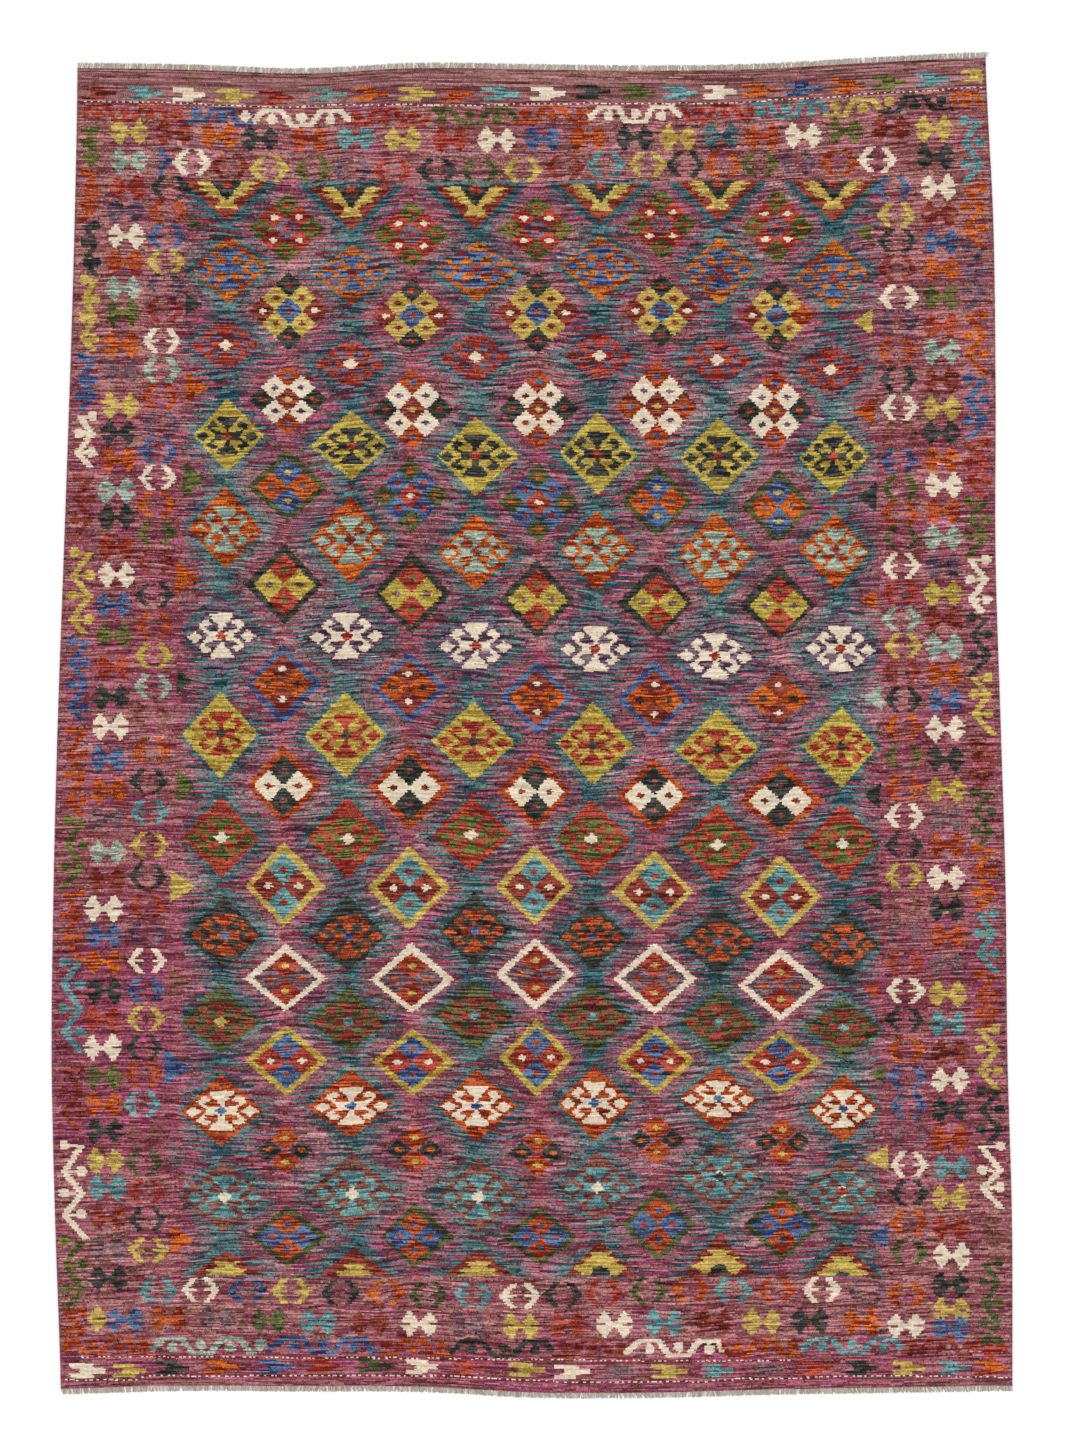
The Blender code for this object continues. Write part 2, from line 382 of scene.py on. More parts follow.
QUARTERED = (
    # the yarns; then the middle, the top, the bottom, the left and the right of each
    (("dark", "red", "green", "olive", "mauve"),
     (284, 585, 545, 624, 245, 321), (411, 594, 552, 633, 373, 450),
     (537, 600, 560, 638, 500, 573), (657, 603, 565, 639, 618, 691),
     (779, 606, 565, 640, 739, 814)),
    (("blue", "maroon", "cream", "orange", "dark"),
     (282, 684, 646, 724, 246, 321), (408, 688, 653, 724, 371, 446),
     (537, 698, 662, 734, 500, 572), (654, 700, 661, 736, 617, 690),
     (778, 699, 663, 736, 741, 819)),
    (("rust", "dark", "brown", "cream", "maroon"),
     (283, 786, 746, 823, 247, 321), (409, 788, 747, 830, 370, 449),
     (535, 792, 753, 829, 498, 569), (654, 796, 759, 833, 617, 690),
     (780, 801, 762, 837, 741, 821)),
    (("gold", "aqua", "red", "maroon", "cream"),
     (283, 886, 843, 926, 246, 324), (409, 888, 847, 929, 368, 449),
     (534, 887, 846, 924, 496, 571), (654, 892, 851, 930, 612, 692),
     (780, 897, 856, 937, 741, 820)),
    (("cream", "red", "gold", "mauve", "orange"),
     (285, 979, 945, 1010, 245, 325), (411, 980, 944, 1012, 371, 453),
     (535, 974, 939, 1009, 496, 572), (654, 979, 944, 1014, 614, 695),
     (780, 986, 949, 1020, 739, 823)),
    (("olive", "blue", "rust", "red", "cream"),
     (286, 1061, 1026, 1095, 245, 326), (412, 1062, 1030, 1095, 373, 454),
     (536, 1058, 1020, 1096, 500, 572), (655, 1061, 1027, 1094, 616, 693),
     (780, 1062, 1031, 1094, 741, 821)),
    (("forest", "rust", "blue", "blue", "red"),
     (287, 1237, 1207, 1267, 250, 328), (414, 1237, 1204, 1268, 381, 454),
     (540, 1237, 1208, 1265, 502, 576), (658, 1225, 1189, 1261, 622, 695),
     (782, 1226, 1189, 1261, 744, 819)),
)
ODD_QUARTERED = (
    (("plum", "maroon", "cream", "orange", "dark"), (778, 699, 663, 736, 741, 819)),
    (("forest", "blue", "gold", "orange", "mauve"),
     (287, 487, 451, 522, 247, 327), (657, 502, 466, 537, 620, 692), (778, 507, 470, 543, 742, 812)),
)
for yarns, *places in QUARTERED + ODD_QUARTERED:
    for place in places:
        weave_quartered(*place, yarns)


# The nine-part diamonds, in the upper rows of the same columns: eight small ones round a ninth.
def weave_spotted(yarn, dot, x, y, wide=13.6, tall=12.6):
    """One small diamond with a dot of another yarn."""
    weave(yarn, DIAMOND, x, y, wide, tall)
    weave(dot, DIAMOND, x, y, 4.8, 3.2)


def weave_nine(x, y, wide, tall, yarns):
    """wide and tall are how far the outer four of the small diamonds are from the ninth."""
    (tips, tips_dot), (slants, slants_dot), (sides, sides_dot), (heart, heart_dot) = yarns
    for a, b, yarn, dot in ((0, -2, tips, tips_dot), (0, 2, tips, tips_dot),
                            (-2, 0, sides, sides_dot), (2, 0, sides, sides_dot),
                            (-1, -1, slants, slants_dot), (1, -1, slants, slants_dot),
                            (-1, 1, slants, slants_dot), (1, 1, slants, slants_dot),
                            (0, 0, heart, heart_dot)):
        weave_spotted(yarn, dot, x + a * wide / 2, y + b * tall / 2, wide / 2 + 0.7, tall / 2 + 0.6)


NINE_PARTS = (
    # the yarn and the dot of the tips, the slants, the sides and the heart; then weave_nine's places
    ((("green", "red"), ("red", "cream"), ("green", "red"), ("plum", "red")),
     (286, 229, 25.5, 23.2), (410.5, 235, 25.5, 22.6), (536, 229.5, 25, 22), (661, 224.5, 23, 23.5),
     (776, 226.5, 23, 25.2)),
    ((("dark", "red"), ("gold", "maroon"), ("maroon", "cream"), ("blue", "rust")),
     (288.5, 311, 26, 26), (411.5, 316, 26.8, 24.8), (537, 313, 27.7, 27), (661, 311, 26, 24),
     (776.5, 315.5, 25, 25)),
    ((("rust", "blue"), ("cream", "plum"), ("dark", "orange"), ("maroon", "gold")),
     (287.5, 399.5, 26, 23.6), (412, 409.5, 26.6, 27), (538, 409.5, 25.6, 27), (656.5, 406, 26.2, 30),
     (774, 411, 25, 27.3)),
    ((("forest", "orange"), ("blue", "red"), ("forest", "orange"), ("red", "cream")),
     (410, 496, 25.6, 25), (538, 503, 26.6, 26.2)),
)
for yarns, *places in NINE_PARTS:
    for place in places:
        weave_nine(*place, yarns)

# Small diamonds of theirs in other yarns.
ODD_PARTS = (
    ("rust", "blue", 629.6, 406.5), ("rust", "blue", 683, 407.5), ("green", "rust", 801, 228),
    ("rust", "amber", 802, 316), ("cream", "maroon", 525.5, 396), ("cream", "maroon", 550, 395),
    ("cream", "rust", 525.5, 423), ("cream", "rust", 550, 422), ("dark", "red", 512.5, 409),
    ("dark", "red", 564, 408),
)
for part in ODD_PARTS:
    weave_spotted(*part)

# One row of small diamonds in fours, without a band.
FOURS = ((285, 1150), (414, 1150), (537, 1153), (656, 1140), (782, 1142))
for x, y in FOURS:
    for across in (-16, 16):
        weave_spotted("dark", "orange", x + across, y, 12.6, 10.4)
    for down in (-12, 12):
        weave_spotted("rust", "gold", x, y + down, 14.8, 12.4)

# The borders' small motifs: bowties, open rings and arrows.
WING = [(-1, -1.6), (1.5, -2.6), (4, -5), (6.5, -8.5), (9, -12.8), (11.5, -12.8), (13.5, -10), (16, -7),
        (18.5, -4.2), (19.8, -2.2), (18, -1.3), (9.5, -1.2), (9.5, 1.2), (18, 1.3), (19.8, 2.2),
        (18.5, 4.2), (16, 7), (13.5, 10), (11.5, 12.8), (9, 12.8), (6.5, 8.5), (4, 5), (1.5, 2.6),
        (-1, 1.6)]
HALF_RING = [(18.4, 0), (15.8, -3.3), (12.8, -7), (9.3, -12.4), (2.6, -12.4), (4.4, -9.6), (7.2, -6.2),
             (10, -2.8), (11, -1.4), (3.8, -1.2), (3.8, 1.1), (11, 1.3), (10, 3.0), (7.4, 6.6),
             (4.6, 10), (2.8, 12.4), (8.8, 12.4), (12.4, 7.8), (15.8, 3.4)]
ARROW = [(0, -7.2), (21.5, -7.2), (21.5, -3), (33, -2.6), (33, 2.6), (21.5, 3), (21.5, 7.2), (0, 7.2),
         (0, 3.1), (9, 2.6), (9, -2.6), (0, -3.1)]

BOWTIES = (
    # left border, down from the top
    ("gold", 129, 132), ("mint", 129, 161), ("red", 127, 188), ("plum", 125, 211),
    ("cream", 125, 236), ("rust", 124, 262), ("mint", 123, 288), ("green", 122, 313),
    ("orange", 121, 345), ("mauve", 120, 371), ("gold", 119, 406), ("dark", 118, 433),
    ("orange", 118, 460), ("mint", 116, 491), ("dark", 116, 517), ("red", 116, 547),
    ("cream", 116, 575), ("blue", 113, 605), ("green", 113, 635), ("red", 113, 667),
    ("dark", 111, 697), ("cream", 110, 727), ("blue", 108, 759), ("orange", 108, 791),
    ("mauve", 107, 819), ("mint", 107, 852), ("maroon", 106, 880), ("cream", 103, 909),
    ("blue", 104, 936), ("orange", 103, 962), ("dark", 104, 991), ("red", 103, 1019),
    ("cream", 102, 1048), ("green", 103, 1077), ("orange", 103, 1105), ("dark", 104, 1131),
    ("gold", 105, 1161), ("aqua", 107, 1188), ("maroon", 108, 1218), ("mauve", 108, 1248),
    ("dark", 108, 1279),
    # right border
    ("gold", 934, 129), ("dark", 935, 157), ("cream", 938, 188), ("maroon", 939, 214),
    ("blue", 941, 242), ("orange", 941, 269), ("green", 941, 297), ("red", 941, 326),
    ("mint", 941, 352), ("maroon", 940, 380), ("gold", 941, 408), ("dark", 940, 433),
    ("orange", 941, 460), ("cream", 943, 486), ("rust", 943, 511), ("mint", 943, 538),
    ("plum", 943, 566), ("olive", 943, 593), ("maroon", 943, 619), ("mint", 944, 647),
    ("orange", 944, 674), ("blue", 945, 701), ("cream", 945, 729), ("dark", 945, 759),
    ("olive", 946, 790), ("mauve", 946, 818), ("rust", 946, 846), ("cream", 946, 878),
    ("dark", 946, 909), ("rust", 947, 937), ("mauve", 947, 965), ("gold", 947, 994),
    ("aqua", 948, 1024), ("maroon", 950, 1053), ("cream", 950, 1080), ("dark", 950, 1109),
    ("rust", 950, 1139), ("aqua", 951, 1168), ("gold", 950, 1198), ("red", 950, 1227),
    ("cream", 951, 1256), ("dark", 950, 1285), ("gold", 950, 1311),
    # top border
    ("maroon", 174, 133), ("orange", 218, 136), ("dark", 260, 139), ("rust", 309, 140),
    ("aqua", 355, 139), ("gold", 402, 140), ("red", 450, 140), ("cream", 497, 140),
    ("blue", 542, 139), ("orange", 588, 138), ("dark", 634, 138), ("gold", 678, 138),
    ("teal", 721, 136), ("rust", 762, 137), ("cream", 802, 136), ("green", 845, 131),
    ("maroon", 890, 128),
    # bottom border
    ("blue", 125, 1320), ("rust", 168, 1319), ("mauve", 217, 1319), ("forest", 268, 1321),
    ("aqua", 318, 1322), ("maroon", 369, 1323), ("cream", 419, 1324), ("mauve", 468, 1324),
    ("gold", 520, 1326), ("red", 567, 1325), ("cream", 614, 1325), ("aqua", 664, 1323),
    ("maroon", 713, 1322), ("gold", 762, 1322), ("dark", 810, 1321), ("orange", 861, 1322),
    ("cream", 905, 1326), ("blue", 950, 1329),
)
for yarn, x, y in BOWTIES:
    for across in (-1, 1):
        wide, tall = draw.uniform(0.9, 1.02), draw.uniform(0.94, 1.08)
        weave(yarn, mirrored(WING, across, 1), x, y, wide, tall, draw.uniform(-0.04, 0.04))
# Half a bowtie, in the lower left corner.
weave("gold", WING, 87, 1319)

RINGS = (
    # left border, down from the top
    ("dark", 170, 188), ("rust", 168, 212), ("blue", 167, 237), ("gold", 166, 262),
    ("plum", 165, 286), ("maroon", 164, 310), ("cream", 162, 341), ("mint", 161, 370),
    ("rust", 160, 397), ("plum", 160, 425), ("blue", 158, 451), ("cream", 157, 478),
    ("orange", 156, 505), ("green", 156, 533), ("maroon", 155, 562), ("dark", 154, 595),
    ("rust", 154, 625), ("olive", 153, 656), ("mint", 153, 687), ("brown", 152, 717),
    ("orange", 151, 751), ("dark", 149, 781), ("aqua", 149, 812), ("gold", 149, 845),
    ("dark", 147, 876), ("red", 147, 907), ("plum", 146, 933), ("cream", 147, 961),
    ("blue", 146, 990), ("gold", 145, 1019), ("dark", 144, 1048), ("rust", 143, 1074),
    ("aqua", 142, 1104), ("brown", 143, 1134), ("forest", 144, 1162), ("red", 146, 1192),
    ("dark", 147, 1219), ("gold", 148, 1250),
    # right border
    ("cream", 877, 160), ("blue", 893, 189), ("gold", 896, 215), ("dark", 897, 241),
    ("maroon", 897, 268), ("cream", 899, 298), ("plum", 898, 322), ("rust", 897, 351),
    ("dark", 898, 379), ("cream", 899, 408), ("brown", 898, 434), ("blue", 899, 461),
    ("green", 900, 488), ("rust", 900, 513), ("forest", 901, 538), ("cream", 901, 566),
    ("red", 901, 592), ("mint", 901, 619), ("gold", 903, 646), ("maroon", 902, 672),
    ("dark", 903, 700), ("orange", 903, 727), ("green", 904, 756), ("orange", 904, 789),
    ("cream", 904, 816), ("dark", 904, 846), ("olive", 904, 876), ("brown", 904, 905),
    ("mauve", 904, 934), ("red", 904, 962), ("cream", 905, 991), ("dark", 905, 1020),
    ("orange", 906, 1050), ("blue", 907, 1077), ("blue", 908, 1106), ("mauve", 909, 1135),
    ("cream", 909, 1165), ("dark", 909, 1193), ("orange", 909, 1223), ("forest", 908, 1252),
    # top border
    ("cream", 192, 163), ("maroon", 230, 167), ("gold", 269, 169), ("green", 313, 170),
    ("plum", 352, 170), ("red", 393, 171), ("dark", 437, 171), ("forest", 479, 171),
    ("gold", 522, 170), ("maroon", 565, 168), ("aqua", 606, 165), ("gold", 647, 165),
    ("dark", 685, 165), ("orange", 723, 165), ("green", 759, 164), ("plum", 797, 163),
    ("rust", 839, 163),
    # bottom border
    ("aqua", 158, 1290), ("cream", 200, 1290), ("blue", 247, 1290), ("gold", 291, 1291),
    ("dark", 340, 1293), ("orange", 385, 1293), ("forest", 427, 1295), ("aqua", 473, 1295),
    ("cream", 520, 1296), ("dark", 562, 1295), ("red", 603, 1293), ("forest", 648, 1291),
    ("orange", 690, 1290), ("aqua", 733, 1290), ("rust", 776, 1290), ("cream", 821, 1290),
    ("mauve", 867, 1292), ("orange", 906, 1295),
)
for yarn, x, y in RINGS:
    for across in (-1, 1):
        wide, tall = draw.uniform(1.02, 1.12), draw.uniform(0.96, 1.05)
        weave(yarn, mirrored(HALF_RING, across, 1), x, y, wide, tall, draw.uniform(-0.03, 0.03))
# Half a ring, in the upper left corner.
weave("blue", HALF_RING, 153, 161)

ARROWS = (
    # left end and middle height
    ("maroon", 82, 93), ("aqua", 128, 93), ("cream", 172, 95), ("gold", 216, 96),
    ("red", 260, 98), ("sage", 310, 95), ("orange", 354, 94), ("gold", 399, 94),
    ("rust", 440, 95), ("aqua", 483, 94), ("cream", 530, 94), ("dark", 576, 92),
    ("green", 621, 93), ("aqua", 662, 93), ("cream", 704, 92), ("orange", 742, 91),
    ("blue", 786, 89), ("orange", 830, 86), ("green", 872, 83), ("aqua", 915, 80),
    ("gold", 960, 76),
    ("cream", 70, 1371), ("gold", 113, 1371), ("dark", 155, 1368), ("orange", 204, 1367),
    ("blue", 257, 1367), ("red", 306, 1366), ("forest", 358, 1366), ("cream", 406, 1367),
    ("red", 451, 1368), ("gold", 508, 1370), ("cream", 554, 1372), ("mauve", 602, 1372),
    ("gold", 652, 1372), ("aqua", 701, 1371), ("mauve", 751, 1370), ("red", 798, 1368),
    ("dark", 844, 1368), ("gold", 892, 1368), ("aqua", 937, 1368), ("orange", 975, 1368),
)
for yarn, x, y in ARROWS:
    weave(yarn, ARROW, x, y, draw.uniform(0.95, 1.08), draw.uniform(0.92, 1.0))


# The vines: a zigzag band with a leaf in every bend.
def weave_band(yarn, points, half_wide, half_tall):
    """A woven band from point to point."""
    for (x0, y0), (x1, y1) in zip(points, points[1:]):
        wide = half_wide if x1 >= x0 else -half_wide
        tall = half_tall if y1 >= y0 else -half_tall
        weave(yarn, [(-wide, -tall), (wide, -tall), (x1 - x0 + wide, y1 - y0 - tall),
                     (x1 - x0 + wide, y1 - y0 + tall), (x1 - x0 - wide, y1 - y0 + tall),
                     (-wide, tall)], x0, y0)


def read_line(line, places):
    """What a line of (place, value) points gives at these places."""
    return np.interp(places, *zip(*line))


TOP_VINE_LEVEL = (
    (80, 113), (196, 114.5), (250, 117.5), (300, 118.8), (360, 117.5), (470, 116.8), (525, 115.3),
    (580, 114.5), (640, 115), (700, 113), (785, 110.3), (835, 108.5), (889, 105.2), (941, 102.4),
    (985, 99.5),
)
BOTTOM_VINE_LEVEL = (
    (60, 1346), (320, 1346), (385, 1346.5), (440, 1348), (510, 1349), (700, 1348.2), (790, 1347.5),
    (820, 1346), (1000, 1347),
)
TOP_VINES = (
    # the yarn, the start, the end, the middle of the first flat, the flats' pitch, and 1 where the
    # first one is high
    ("red", 82, 181, 98, 26, 1), ("blue", 186, 254, 196, 25, 0), ("cream", 254, 349, 271.5, 29.3, 1),
    ("red", 347, 428, 357, 28, 0), ("green", 431, 515, 441.5, 28, 1), ("rust", 515, 590, 525, 27.5, 0),
    ("cream", 589, 679, 608.5, 26.3, 1), ("red", 684, 748, 698, 26, 0), ("aqua", 749, 830, 760, 25.3, 1),
    ("gold", 825, 879, 835, 27.5, 0), ("dark", 879, 950, 888.5, 26.3, 0),
    ("orange", 952, 984, 965, 26, 1),
)
BOTTOM_VINES = (
    ("rust", 66, 152, 66, 26, 1), ("mint", 152, 252, 172, 29, 1), ("blue", 269, 377, 293, 30, 1),
    ("rust", 378, 448, 385, 28, 0), ("dark", 451, 551, 471, 32, 1), ("maroon", 553, 624, 564, 28, 0),
    ("cream", 626, 720, 648.5, 30, 1), ("orange", 722, 800, 737, 27.3, 0),
    ("aqua", 802, 901, 822, 30.5, 1), ("maroon", 902, 970, 912, 28, 0), ("red", 974, 1005, 988, 28, 1),
)
SWING = 7  # how far the flats stand over and under the level
FLAT_HALF = 9.5


def weave_level_vine(level, yarn, start, end, flat, pitch, is_high):
    """A vine across the rug, with a leaf over each low flat and under each high one."""
    path, middle, high = [], flat, is_high
    while middle - 8 < end:
        y = float(read_line(level, middle)) + (-SWING if high else SWING)
        path += [(max(middle - FLAT_HALF, start), y), (min(middle + FLAT_HALF, end), y)]
        weave(yarn, LEAF, middle, y + (8.6 if high else -8.6), 5.0, 5.2)
        weave(yarn, DIAMOND, middle, y + (3 if high else -3), 1.8, 4)
        middle, high = middle + pitch, not high
    if start < flat - 11:
        path.insert(0, (start, path[0][1] + (11 if is_high else -11)))
    if path[-1][0] < end:
        path.append((end, path[-1][1] + (-9 if high else 9)))
    weave_band(yarn, path, 2.2, 1.9)


for level, vines in ((TOP_VINE_LEVEL, TOP_VINES), (BOTTOM_VINE_LEVEL, BOTTOM_VINES)):
    for vine in vines:
        weave_level_vine(level, *vine)

# Leaves that stand loose between the vines.
weave("mint", DIAMOND, 260.5, 1344.5, 6.6, 7.5)
weave("cream", DIAMOND, 245, 116.5, 6.6, 7)
weave("gold", LEAF, 889, 102, 5.2, 5.2)

# How far down, and the left and the right of the vines there.
LEFT_VINE_SIDES = (
    (130, 82, 97), (240, 82, 98), (340, 80, 96), (420, 76.5, 95), (450, 74.5, 94), (560, 71, 92.5),
    (620, 68.5, 91), (660, 69, 88.5), (750, 66.5, 86), (850, 64, 85), (920, 61.5, 80), (1000, 59.5, 83),
    (1180, 61, 84), (1290, 62.5, 85),
)
RIGHT_VINE_SIDES = (
    (120, 961, 981), (200, 962.5, 984.5), (290, 964, 985.5), (420, 964.5, 987.5), (580, 967, 988),
    (640, 969.5, 990), (700, 971, 991), (860, 972, 994), (930, 975.5, 996.5), (1000, 976, 997),
    (1060, 977, 1000), (1130, 978.6, 1003), (1290, 980.6, 1001),
)
LEFT_VINES = (
    # the yarn, 1 where the first bend is at the left, how far down the bends are, and the end
    ("green", 1, (131, 144, 158), 166), ("rust", 0, (173, 192, 206), 222),
    ("dark", 1, (226, 243, 263), 276), ("gold", 0, (280, 300, 317, 339), 351),
    ("blue", 0, (358, 380, 397), 411), ("cream", 1, (417, 434, 453), 467),
    ("maroon", 0, (478, 499, 520), 540), ("gold", 0, (553, 576, 596, 620), 632),
    ("blue", 0, (642, 663, 685, 708), 721), ("rust", 0, (731, 755, 776, 801), 815),
    ("green", 0, (821, 846, 868), 890), ("rust", 1, (894, 916, 939), 960),
    ("aqua", 0, (963, 985, 1009, 1032), 1052), ("maroon", 1, (1069, 1092, 1114), 1132),
    ("cream", 0, (1146, 1172, 1194, 1215), 1238), ("green", 0, (1241, 1265, 1290), 1308),
    ("rust", 1, (1312, 1331), 1346),
)
RIGHT_VINES = (
    ("aqua", 0, (121, 143, 165), 183), ("orange", 1, (188, 208, 229), 250),
    ("plum", 0, (249, 272, 292), 311), ("orange", 1, (315, 336, 355), 376),
    ("blue", 0, (379, 401, 421), 439), ("red", 1, (443, 463, 481), 497),
    ("green", 0, (502, 520, 537), 557), ("cream", 1, (560, 580, 600), 613),
    ("dark", 0, (618, 635, 656), 675), ("gold", 1, (678, 695, 714), 735),
    ("maroon", 0, (744, 758, 774), 788), ("forest", 0, (793, 812, 832), 846),
    ("orange", 0, (849, 872, 893), 910), ("aqua", 1, (914, 934, 954), 973),
    ("rust", 0, (975, 995, 1014), 1028), ("gold", 1, (1030, 1050, 1071), 1090),
    ("dark", 0, (1091, 1110, 1130), 1143), ("cream", 1, (1147, 1171, 1188), 1208),
    ("brown", 0, (1218, 1235), 1250), ("forest", 1, (1264, 1282, 1303, 1324, 1342), 1344),
    ("red", 1, (1350,), 1361),
)


def weave_upright_vine(sides, yarn, at_left, bends, end):
    """A vine down a border, with a leaf across from each bend."""
    path = []
    for bend, y in enumerate(bends):
        left, right = (float(np.interp(y, [s[0] for s in sides], [s[k] for s in sides])) for k in (1, 2))
        if (bend + at_left) % 2:
            left, right = right, left
        inward = 2.8 if left < right else -2.8
        path.append((right - inward, y))
        weave(yarn, LEAF, left + inward, y - 0.5, 4.9, 5.4)
        weave(yarn, DIAMOND, (left + right) / 2, y, 8, 1.8)
    reach = min(abs(left - right), (end - y) * 0.9)
    path.append((path[-1][0] + math.copysign(reach, left - right), end))
    weave_band(yarn, path, 3.0, 0.8)


for sides, vines in ((LEFT_VINE_SIDES, LEFT_VINES), (RIGHT_VINE_SIDES, RIGHT_VINES)):
    for vine in vines:
        weave_upright_vine(sides, *vine)

# Half motifs along the sides of the field.
TUFTS = (
    # flat side, point, top and bottom
    ("green", 190, 203, 218, 232), ("dark", 185, 202, 293, 316), ("orange", 185, 207, 371, 405),
    ("green", 182, 204, 460, 500), ("orange", 175, 198, 560, 595), ("dark", 176, 192, 667, 695),
    ("green", 176, 195, 767, 805), ("gold", 170, 195, 870, 903), ("brown", 168, 190, 962, 1000),
    ("blue", 163, 190, 1048, 1087), ("mauve", 168, 190, 1140, 1175), ("orange", 170, 193, 1225, 1255),
    ("green", 871, 854, 222, 243), ("gold", 873, 853, 308, 336), ("orange", 875, 853, 397, 427),
    ("dark", 876, 857, 483, 513), ("orange", 876, 859, 590, 610), ("mint", 881, 862, 685, 710),
    ("dark", 880, 863, 782, 810), ("dark", 881, 864, 890, 912), ("red", 880, 862, 980, 1000),
    ("forest", 885, 867, 1064, 1084), ("gold", 887, 864, 1145, 1172), ("blue", 886, 866, 1225, 1248),
)
for yarn, flat, point, top, bottom in TUFTS:
    half = (bottom - top) / 2
    weave(yarn, [(0, -half), (0, half), (point - flat, 0)], flat, (top + bottom) / 2)

# The plain bands at the ends, each closed by a twined line of white and dark wefts.
TOP_TWINE = (
    (70, 102), (150, 102), (200, 104.3), (260, 107), (300, 107), (330, 105.5), (410, 105), (450, 105.7),
    (490, 105.5), (530, 104), (600, 103.5), (640, 104.3), (740, 102.7), (772, 100.3), (806, 98.7),
    (835, 97), (872, 93.7), (920, 91.2), (960, 88.7), (987, 86.7),
)
BOTTOM_TWINE = (
    (60, 1380), (135, 1380), (148, 1376), (440, 1376), (470, 1377), (500, 1379), (536, 1380.5),
    (560, 1382), (700, 1382), (740, 1379), (800, 1378), (850, 1376.7), (910, 1376), (1012, 1377.5),
)
FAINT_TWINE = ((80, 1357), (100, 1357), (400, 1358.5), (640, 1361), (800, 1361))
TWINE_HALF = 0.65


def weave_twine(on_line, pitch, white_share, dark):
    """Weaves a line of white and dark wefts in turn."""
    is_white = (cell_x / pitch) % 1 < white_share
    chart[on_line & is_white] = YARN_NUMBER["cream"]
    chart[on_line & ~is_white] = YARN_NUMBER[dark]


beyond_twine = np.full(chart.shape, -1e3)
for line, outward in ((TOP_TWINE, -1), (BOTTOM_TWINE, 1)):
    beyond = (cell_y - read_line(line, cell_x)) * outward
    beyond_twine = np.maximum(beyond_twine, beyond)
    weave_twine(np.abs(beyond) < TWINE_HALF, 6.4, 0.45, "wine")
is_faint = (np.abs(cell_y - read_line(FAINT_TWINE, cell_x)) < TWINE_HALF) & (chart == OPEN)
weave_twine(is_faint & (cell_x > FAINT_TWINE[0][0]) & (cell_x < FAINT_TWINE[-1][0]), 5.4, 0.38, "maroon")
chart[:, [0, -1]] = YARN_NUMBER["selvedge"]


# The ground of the field is all teal round the A columns, and all rose round the B columns and along
# the borders. Between, the two interlock like combs, by how far a cell is from the one and the other.
def ground_reach(rows):
    """Steps outside the solid ground round the columns. Each row holds its motifs' x, y, half width
    and half height."""
    reach = np.full(chart.shape, 1e3)
    for column in zip(*rows):
        middle = np.interp(cell_y, [place[1] for place in column], [place[0] for place in column])
        half = np.full(chart.shape, 6.0)
        for _, y, wide, tall in column:
            half = np.maximum(half, wide * (1 - np.abs(cell_y - y) / tall) + 2.0)
        reach = np.minimum(reach, np.abs(cell_x - middle) - half)
    return reach


def halves(places):
    """The middle, the half width and the half height of each motif in a row."""
    return [(x, (top + bottom) / 2, (right - left) / 2, (bottom - top) / 2)
            for x, y, top, bottom, left, right in places]


teal_reach = ground_reach([
    [(x, FIELD_TOP, 42, 46) for x, top, tip in TOP_HALVES],
    *[halves(places) for yarns, figure, *places in MEDALLIONS],
    [(x, FIELD_BOTTOM, 40, 34) for x, tip, top, half in BOTTOM_HALVES],
])
FOURTH_ROW = ((287, 487), (410, 495), (538, 503), (657, 502), (778, 507))
rose_reach = ground_reach([
    *[[(x, y, 1.5 * wide, 1.5 * tall) for x, y, wide, tall in places]
      for yarns, *places in NINE_PARTS[:3]],
    [(x, y, 38, 36) for x, y in FOURTH_ROW],
    *[halves(places) for yarns, *places in QUARTERED[:6]],
    [(x, y, 28, 22) for x, y in FOURS],
    halves(QUARTERED[6][1:]),
])
rose_reach = np.minimum(rose_reach, np.minimum(cell_x - FIELD_LEFT, FIELD_RIGHT - cell_x))

RUNS = 211


def by_run(shortest, longest, group):
    """A chance from 0 to 1 for every cell, the same along each run of its group of rows."""
    lengths = weaver.uniform(shortest, longest, (ROWS, 1))[group]
    runs = (cell_x / lengths + weaver.uniform(0, 9, (ROWS, 1))[group]).astype(int) % RUNS
    return weaver.random((ROWS, RUNS))[group[:, None], runs]


def weave_runs(where, shares, dice):
    """Weaves what is still open there in several yarns, each for its share of the chances."""
    start = 0.0
    for yarn, share in shares.items():
        chart[where & (chart == OPEN) & (dice >= start) & (dice < start + share)] = YARN_NUMBER[yarn]
        start += share


# The weaver changes yarn after one to four rows, and the lots of wool drift over the cloth. The
# shares of the yarns come to just over 1, so that no cell stays open.
each_row = np.arange(ROWS)
bundle = np.repeat(each_row, weaver.choice([1, 2, 3, 4], ROWS, p=[0.12, 0.38, 0.32, 0.18]))[:ROWS]
lots = weaver.uniform(-0.25, 1.25, (46, 19))
lots = np.clip(smooth_values(smooth_values(lots, each_row / ROWS).T, np.arange(WARPS) / WARPS).T, 0, 1)


def by_lot(shortest, longest, drift=0.35):
    """The same as by_run for bundles of rows, with the drift of the lots."""
    return drift * lots + (1 - drift) * by_run(shortest, longest, bundle)


